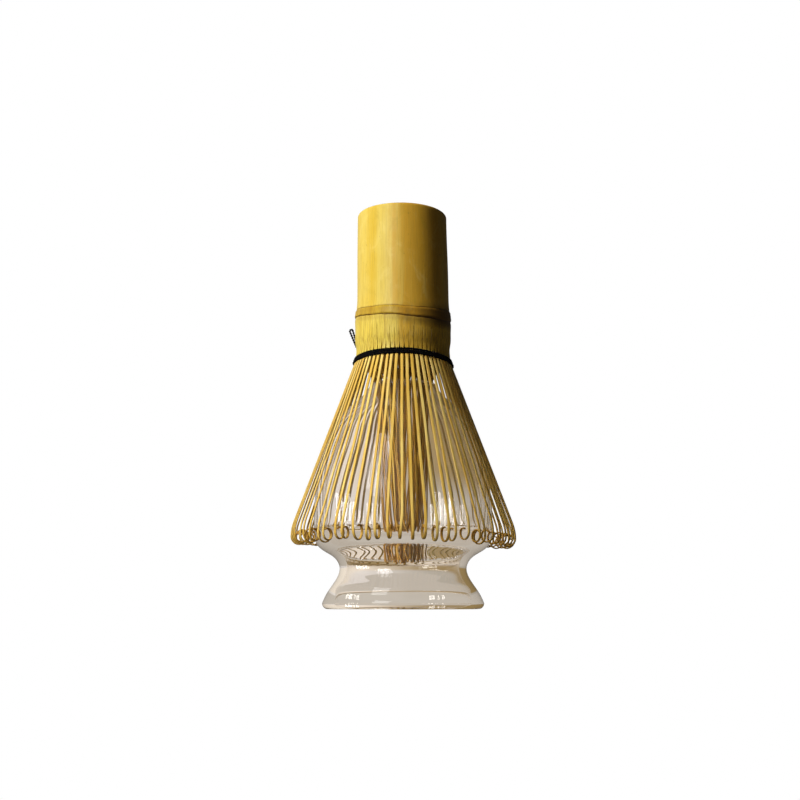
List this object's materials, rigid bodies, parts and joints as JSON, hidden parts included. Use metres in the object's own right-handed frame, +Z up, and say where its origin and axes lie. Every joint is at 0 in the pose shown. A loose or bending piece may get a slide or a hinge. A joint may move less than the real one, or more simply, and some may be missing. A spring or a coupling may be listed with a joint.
{
  "type": "bamboo tea whisk",
  "caption": "Bamboo tea whisk with a hollow cut handle, black thread, curled outer tines and an inner bundle, resting over a clear glass stand.",
  "frame": {"origin": "centre of the stand's foot ring, on the surface the stand rests on", "axes": "+Z up along the axis of stand and whisk; +X to the right and +Y away from the viewer in the front view"},
  "size_m": [0.0658, 0.0658, 0.118],
  "materials": {
    "bamboo_skin": "smooth dried bamboo rind, pale gold with brown mottling, satin",
    "bamboo_node": "darker olive-gold bamboo joint with brown scar lines, satin",
    "bamboo_inside": "raw inside of the culm, pale and matt",
    "bamboo_scraped": "scraped bamboo with fine lengthwise fibres, matt",
    "bamboo_outer_tine": "split bamboo with fine lengthwise fibres, golden, darker at the curls, satin",
    "bamboo_inner_tine": "thin split bamboo, warm gold to brown, satin",
    "black_thread": "twisted black cotton thread, matt",
    "clear_glass": "clear blown glass, polished"
  },
  "bodies": {
    "stand": {"glass_stand": "clear_glass"},
    "whisk": {"handle_culm": "bamboo_skin", "culm_node_ring": "bamboo_node", "node_diaphragm": "bamboo_inside", "split_collar": "bamboo_scraped", "thread_outer_wrap": "black_thread", "thread_inner_weave": "black_thread", "thread_knot": "black_thread", "thread_tails": "black_thread", "inner_tines_01": "bamboo_inner_tine", "inner_tines_02": "bamboo_inner_tine", "inner_tines_03": "bamboo_inner_tine", "inner_tines_04": "bamboo_inner_tine", "inner_tines_05": "bamboo_inner_tine", "inner_tines_06": "bamboo_inner_tine", "inner_tines_07": "bamboo_inner_tine", "inner_tines_08": "bamboo_inner_tine", "inner_tines_09": "bamboo_inner_tine", "inner_tines_10": "bamboo_inner_tine", "inner_tines_11": "bamboo_inner_tine", "inner_tines_12": "bamboo_inner_tine", "inner_tines_13": "bamboo_inner_tine", "inner_tines_14": "bamboo_inner_tine", "inner_tines_15": "bamboo_inner_tine", "inner_tines_16": "bamboo_inner_tine"},
    "outer_splint_01": {"outer_tines_01": "bamboo_outer_tine"},
    "outer_splint_02": {"outer_tines_02": "bamboo_outer_tine"},
    "outer_splint_03": {"outer_tines_03": "bamboo_outer_tine"},
    "outer_splint_04": {"outer_tines_04": "bamboo_outer_tine"},
    "outer_splint_05": {"outer_tines_05": "bamboo_outer_tine"},
    "outer_splint_06": {"outer_tines_06": "bamboo_outer_tine"},
    "outer_splint_07": {"outer_tines_07": "bamboo_outer_tine"},
    "outer_splint_08": {"outer_tines_08": "bamboo_outer_tine"},
    "outer_splint_09": {"outer_tines_09": "bamboo_outer_tine"},
    "outer_splint_10": {"outer_tines_10": "bamboo_outer_tine"},
    "outer_splint_11": {"outer_tines_11": "bamboo_outer_tine"},
    "outer_splint_12": {"outer_tines_12": "bamboo_outer_tine"},
    "outer_splint_13": {"outer_tines_13": "bamboo_outer_tine"},
    "outer_splint_14": {"outer_tines_14": "bamboo_outer_tine"},
    "outer_splint_15": {"outer_tines_15": "bamboo_outer_tine"},
    "outer_splint_16": {"outer_tines_16": "bamboo_outer_tine"}
  },
  "joints": [
    {"name": "whisk_lift", "type": "slide", "parent": "stand", "child": "whisk", "axis": [0, 0, 1], "range_m": [0, 0.06]},
    {"name": "tine_flex_01", "type": "hinge", "parent": "whisk", "child": "outer_splint_01", "pos_m": [0.0141, 0.00034, 0.0735], "axis": [0.0244, -0.9997, 0], "range_deg": [0, 5], "stiffness_Nm_per_rad": 0.01},
    {"name": "tine_flex_02", "type": "hinge", "parent": "whisk", "child": "outer_splint_02", "pos_m": [0.01289, 0.00571, 0.0735], "axis": [0.4051, -0.9143, 0], "range_deg": [0, 5], "stiffness_Nm_per_rad": 0.01},
    {"name": "tine_flex_03", "type": "hinge", "parent": "whisk", "child": "outer_splint_03", "pos_m": [0.00972, 0.01021, 0.0735], "axis": [0.7242, -0.6896, 0], "range_deg": [0, 5], "stiffness_Nm_per_rad": 0.01},
    {"name": "tine_flex_04", "type": "hinge", "parent": "whisk", "child": "outer_splint_04", "pos_m": [0.00508, 0.01316, 0.0735], "axis": [0.933, -0.36, 0], "range_deg": [0, 5], "stiffness_Nm_per_rad": 0.01},
    {"name": "tine_flex_05", "type": "hinge", "parent": "whisk", "child": "outer_splint_05", "pos_m": [-0.00034, 0.0141, 0.0735], "axis": [0.9997, 0.0244, 0], "range_deg": [0, 5], "stiffness_Nm_per_rad": 0.01},
    {"name": "tine_flex_06", "type": "hinge", "parent": "whisk", "child": "outer_splint_06", "pos_m": [-0.00571, 0.01289, 0.0735], "axis": [0.9143, 0.4051, 0], "range_deg": [0, 5], "stiffness_Nm_per_rad": 0.01},
    {"name": "tine_flex_07", "type": "hinge", "parent": "whisk", "child": "outer_splint_07", "pos_m": [-0.01021, 0.00972, 0.0735], "axis": [0.6896, 0.7242, 0], "range_deg": [0, 5], "stiffness_Nm_per_rad": 0.01},
    {"name": "tine_flex_08", "type": "hinge", "parent": "whisk", "child": "outer_splint_08", "pos_m": [-0.01316, 0.00508, 0.0735], "axis": [0.36, 0.933, 0], "range_deg": [0, 5], "stiffness_Nm_per_rad": 0.01},
    {"name": "tine_flex_09", "type": "hinge", "parent": "whisk", "child": "outer_splint_09", "pos_m": [-0.0141, -0.00034, 0.0735], "axis": [-0.0244, 0.9997, 0], "range_deg": [0, 5], "stiffness_Nm_per_rad": 0.01},
    {"name": "tine_flex_10", "type": "hinge", "parent": "whisk", "child": "outer_splint_10", "pos_m": [-0.01289, -0.00571, 0.0735], "axis": [-0.4051, 0.9143, 0], "range_deg": [0, 5], "stiffness_Nm_per_rad": 0.01},
    {"name": "tine_flex_11", "type": "hinge", "parent": "whisk", "child": "outer_splint_11", "pos_m": [-0.00972, -0.01021, 0.0735], "axis": [-0.7242, 0.6896, 0], "range_deg": [0, 5], "stiffness_Nm_per_rad": 0.01},
    {"name": "tine_flex_12", "type": "hinge", "parent": "whisk", "child": "outer_splint_12", "pos_m": [-0.00508, -0.01316, 0.0735], "axis": [-0.933, 0.36, 0], "range_deg": [0, 5], "stiffness_Nm_per_rad": 0.01},
    {"name": "tine_flex_13", "type": "hinge", "parent": "whisk", "child": "outer_splint_13", "pos_m": [0.00034, -0.0141, 0.0735], "axis": [-0.9997, -0.0244, 0], "range_deg": [0, 5], "stiffness_Nm_per_rad": 0.01},
    {"name": "tine_flex_14", "type": "hinge", "parent": "whisk", "child": "outer_splint_14", "pos_m": [0.00571, -0.01289, 0.0735], "axis": [-0.9143, -0.4051, 0], "range_deg": [0, 5], "stiffness_Nm_per_rad": 0.01},
    {"name": "tine_flex_15", "type": "hinge", "parent": "whisk", "child": "outer_splint_15", "pos_m": [0.01021, -0.00972, 0.0735], "axis": [-0.6896, -0.7242, 0], "range_deg": [0, 5], "stiffness_Nm_per_rad": 0.01},
    {"name": "tine_flex_16", "type": "hinge", "parent": "whisk", "child": "outer_splint_16", "pos_m": [0.01316, -0.00508, 0.0735], "axis": [-0.36, -0.933, 0], "range_deg": [0, 5], "stiffness_Nm_per_rad": 0.01}
  ]
}
